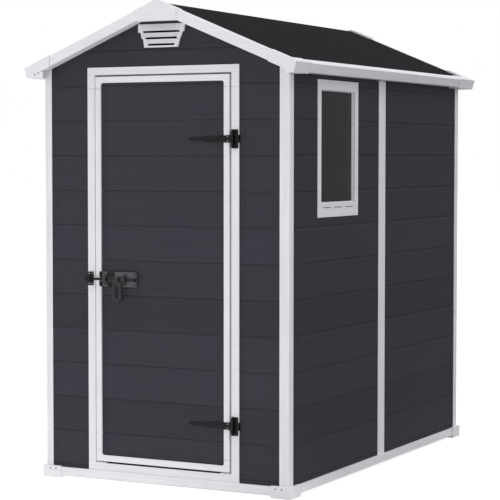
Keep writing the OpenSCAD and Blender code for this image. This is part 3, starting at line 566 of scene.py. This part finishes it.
def blocks(name, body, finish, corners, width):
    """A piece made of plain blocks, each given by its low and high corner."""
    bm = bmesh.new()
    for low, high in corners:
        size, middle = Vector(high) - Vector(low), (Vector(high) + Vector(low)) / 2
        bmesh.ops.create_cube(bm, size=1.0, matrix=Matrix.Translation(middle) @ Matrix.Diagonal((*size, 1.0)))
    mesh = bpy.data.meshes.new(name)
    bm.to_mesh(mesh)
    bm.free()
    mesh.materials.append(finish)
    made = placed(name, mesh)
    eased(made, width)
    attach(made, body)


# Latch: black pads above and below the bolt, beside the guide, are painted shade for the shadows of the guide and
# bolt on the plate, and two more black pads sit at the plate's end
PAD_T, PAD_CLEAR, PAD_W, CORNER_W, GUIDE_W, PAD_EASE = 1.5 * MM, 10 * MM, 33 * MM, 15 * MM, 14 * MM, 0.4 * MM
plate_low, plate_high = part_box("latch_plate")
bolt_z = (plate_low.z + plate_high.z) / 2
pad_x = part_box("latch_guides")[0].x + GUIDE_W
pads = [((x, plate_low.y - PAD_T, z0), (x + width, plate_low.y, z1))
        for x, width in ((plate_low.x, CORNER_W), (pad_x, PAD_W))
        for z0, z1 in ((plate_low.z, bolt_z - PAD_CLEAR), (bolt_z + PAD_CLEAR, plate_high.z))]
blocks("latch_black_pads", "door", FITTING, pads, PAD_EASE)

# Hinges: a backing behind each knuckle, and a tab that goes round the jamb's edge to the wall
BACKING_T, BACKING_W, STEEL_T, LAP = 1.0 * MM, 15 * MM, 3 * MM, 0.4 * MM
TAB_HALF, TAB_W, TAB_OUT, HINGE_HALF, HINGE_EASE = 15.5 * MM, 5 * MM, 2.5 * MM, 37 * MM, 0.3 * MM
hinges_low, hinges_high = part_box("hinge_plates")
jambs_low, jambs_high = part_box("door_jambs")
wall_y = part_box("front_wall_right")[0].y
hinge_heights = (hinges_low.z + HINGE_HALF, hinges_high.z - HINGE_HALF)
leaves = [((x0, y0, z - half), (x1, y1, z + half)) for z in hinge_heights for x0, x1, y0, y1, half in (
    (hinges_low.x, hinges_low.x + BACKING_W, jambs_low.y - BACKING_T, jambs_low.y, TAB_HALF),
    (jambs_high.x - TAB_W, jambs_high.x + LAP, jambs_low.y - STEEL_T + LAP, jambs_low.y, TAB_HALF - LAP),
    (jambs_high.x, jambs_high.x + TAB_OUT, jambs_low.y - STEEL_T, wall_y, TAB_HALF))]
blocks("hinge_backings", "shed", FITTING, leaves, HINGE_EASE)

# Sill: a black strip on the sill under the door, between its corners, is painted shade standing in for the
# shadowed gap under the door, and a white shoulder stands at each end
STRIP_IN, STRIP_T, STRIP_FRONT, STRIP_BACK, STRIP_EASE = 45 * MM, 1.0 * MM, 1.0 * MM, 6.0 * MM, 0.3 * MM
SHOULDER_T, SHOULDER_OUT, SHOULDER_EASE = 3.0 * MM, 4.0 * MM, 0.6 * MM
door_low, door_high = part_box("door_rails")
sill_low, sill_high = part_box("door_sill")


def on_sill(x0, x1, thick):
    """A block on the sill from x0 to x1."""
    return ((x0, sill_low.y + STRIP_FRONT, sill_high.z), (x1, sill_high.y - STRIP_BACK, sill_high.z + thick))


strip_x0, strip_x1 = door_low.x + STRIP_IN, door_high.x - STRIP_IN
blocks("sill_painted_shade_strip", "shed", GAP_SHADE_BLACK, [on_sill(strip_x0, strip_x1, STRIP_T)], STRIP_EASE)
blocks("sill_shoulders", "shed", TRIM, [
    on_sill(door_low.x - SHOULDER_OUT, strip_x0, SHOULDER_T),
    on_sill(strip_x1, door_high.x + SHOULDER_OUT, SHOULDER_T)], SHOULDER_EASE)

# Screws: zinc ones in the keeper, the front feet and the hinge straps, black ones in the latch plate
KEEPER_X, KEEPER_Z, FOOT_IN, FOOT_Z = 7 * MM, 20 * MM, (40.5 * MM, 67.5 * MM), 37.5 * MM
STRAP_T, ROOT_IN, ROOT_APART, PLATE_IN = 3.5 * MM, 5.5 * MM, 8.5 * MM, 7.5 * MM
BOTH = (-1, 1)
keeper_low, keeper_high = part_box("latch_keeper")
keeper_mid = (keeper_low + keeper_high) / 2
feet_low, feet_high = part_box("base_feet")
keeper_screws = [(keeper_mid.x + i * KEEPER_X, keeper_high.y - STEEL_T, keeper_mid.z + k * KEEPER_Z)
                 for i in BOTH for k in BOTH]
foot_screws = [((feet_high.x - a) * i, feet_low.y, FOOT_Z) for i in BOTH for a in FOOT_IN]
strap_screws = [(door_high.x - ROOT_IN, door_low.y - STRAP_T, z + k * ROOT_APART)
                for z in hinge_heights for k in BOTH]
plate_screws = [(x, plate_low.y - lift, bolt_z + k * (plate_high.z - bolt_z - PLATE_IN))
                for x, lift in ((plate_low.x + PLATE_IN, PAD_T), (plate_high.x - PLATE_IN, 0.0)) for k in BOTH]
for name, body, slot, finish, radius, points in (
        ("keeper_screws", "shed", "fitting_black", SCREW, 3.1 * MM, keeper_screws),
        ("foot_screws", "shed", "trim_white", SCREW, 3.8 * MM, foot_screws),
        ("strap_screws", "door", "fitting_black", SCREW, 2.6 * MM, strap_screws),
        ("plate_screws", "door", "fitting_black", FITTING, 3.6 * MM, plate_screws)):
    mesh = bpy.data.meshes.new(name)
    mesh.from_pydata(points, [], [])
    heads = grown(placed(name, mesh), screw_heads, screw_ids, {"Radius": radius, "Finish": finish})
    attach(heads, body)

# Every other CAD piece keeps its shape, gets its finish, and has its moulded or pressed edges eased, by so many
# millimetres. The sill and the rail under it meet in a joint too tight to show
EASE = {"trim_white": 1.0, "roof_charcoal": 0.8, "floor_grey": 2.0, "fitting_black": 0.6, "beam_steel": 2.0}
OWN_EASE = {"door_sill": 0.2, "base_rail_front": 0.2}
for node, piece in NODES.items():
    slot = SLOT_OF[node]
    piece.data.materials.clear()
    piece.data.materials.append(OWN_FINISH.get(node, BY_SLOT[slot]))
    if node not in replaced:
        eased(piece, OWN_EASE.get(node, EASE[slot]) * MM)

# Camera, with the photograph's view
yaw, pitch, roll = (math.radians(a) for a in (CAMERA_YAW, CAMERA_PITCH, CAMERA_ROLL))
ahead = Vector((-math.sin(yaw) * math.cos(pitch), math.cos(yaw) * math.cos(pitch), math.sin(pitch)))
right = Vector((math.cos(yaw), math.sin(yaw), 0.0))
turned = Matrix((right, right.cross(ahead), -ahead)).transposed() @ Matrix.Rotation(roll, 3, "Z")
lens = bpy.data.cameras.new("camera")
lens.lens, lens.sensor_width, lens.clip_end = CAMERA_LENS, CAMERA_SENSOR, CAMERA_FAR
camera = placed("camera", lens)
camera.matrix_world = Matrix.Translation(CAMERA_AT) @ turned.to_4x4()
bpy.context.scene.camera = camera
bpy.context.scene.view_settings.view_transform = "Standard"

# A pale studio: the camera sees white paper, and the shed stands in a soft room that is brightest overhead and at
# its sides
world = bpy.data.worlds.new("studio")
bpy.context.scene.world = world
world.use_nodes = True
room = world.node_tree
room.nodes.clear()
way = add(room, "ShaderNodeSeparateXYZ", {0: add(room, "ShaderNodeTexCoord").outputs["Generated"]}).outputs
sides = reckon(room, "MULTIPLY_ADD", reckon(room, "MULTIPLY", way["Y"], way["Y"]), -ROOM_ENDS, ROOM_BASE)
total = reckon(room, "MULTIPLY_ADD", reckon(room, "MULTIPLY", way["Z"], way["Z"]), ROOM_TOP, sides)
level = reckon(room, "MAXIMUM", total, ROOM_LEAST)
soft = add(room, "ShaderNodeBackground", {"Color": ROOM_COLOUR, "Strength": level}).outputs[0]
white = add(room, "ShaderNodeBackground", {"Color": (1.0, 1.0, 1.0, 1.0), "Strength": 1.0}).outputs[0]
seen = add(room, "ShaderNodeLightPath").outputs["Is Camera Ray"]
both = add(room, "ShaderNodeMixShader", {0: seen, 1: soft, 2: white}).outputs[0]
add(room, "ShaderNodeOutputWorld", {"Surface": both})

# Paper on the floor: a white sheet in front of the door throws light up under the gable, beside the shed it is
# greyer, and it gives back more light close to the shed's foot
paper = bpy.data.materials.new("pale_paper")
paper.use_nodes = True
sheet = paper.node_tree
sheet.nodes.clear()
spot = add(sheet, "ShaderNodeSeparateXYZ", {0: add(sheet, "ShaderNodeTexCoord").outputs["Object"]}).outputs
beside = ranged(sheet, reckon(sheet, "ADD", spot["X"], spot["Y"]), 0.0, 1.0, *PAPER_TURN)
matt = add(sheet, "ShaderNodeBsdfDiffuse", {"Color": blend(sheet, beside, PAPER_FRONT, PAPER_SIDE)}).outputs[0]
outside = [reckon(sheet, "SUBTRACT", reckon(sheet, "ABSOLUTE", spot[axis]), half)
           for axis, half in FOOT_HALF.items()]
near = ranged(sheet, reckon(sheet, "MAXIMUM", *outside), FOOT_LIFT, 0.0, 0.0, FOOT_REACH)
lift = reckon(sheet, "ADD", near, ranged(sheet, beside, SHEET_LIFT, 0.0))
seen = add(sheet, "ShaderNodeLightPath").outputs["Is Camera Ray"]
glow = add(sheet, "ShaderNodeEmission", {"Strength": ranged(sheet, seen, lift, PAPER_SEEN)}).outputs[0]
lit = add(sheet, "ShaderNodeAddShader", {0: matt, 1: glow}).outputs[0]
add(sheet, "ShaderNodeOutputMaterial", {"Surface": lit})
ground_mesh = bpy.data.meshes.new("ground")
ground_mesh.from_pydata([(x * PAPER_HALF, y * PAPER_HALF, 0.0) for x, y in ((-1, -1), (1, -1), (1, 1), (-1, 1))],
                        [], [(0, 1, 2, 3)])
ground_mesh.materials.append(paper)
ground = placed("ground", ground_mesh)

lamp_data = bpy.data.lights.new("front_lamp", "AREA")
lamp_data.size, lamp_data.energy = LAMP_SIZE, LAMP_POWER
lamp = placed("front_lamp", lamp_data)
aim = (Vector(LAMP_AIM) - Vector(LAMP_AT)).to_track_quat("-Z", "Y").to_matrix().to_4x4()
lamp.matrix_world = Matrix.Translation(LAMP_AT) @ aim
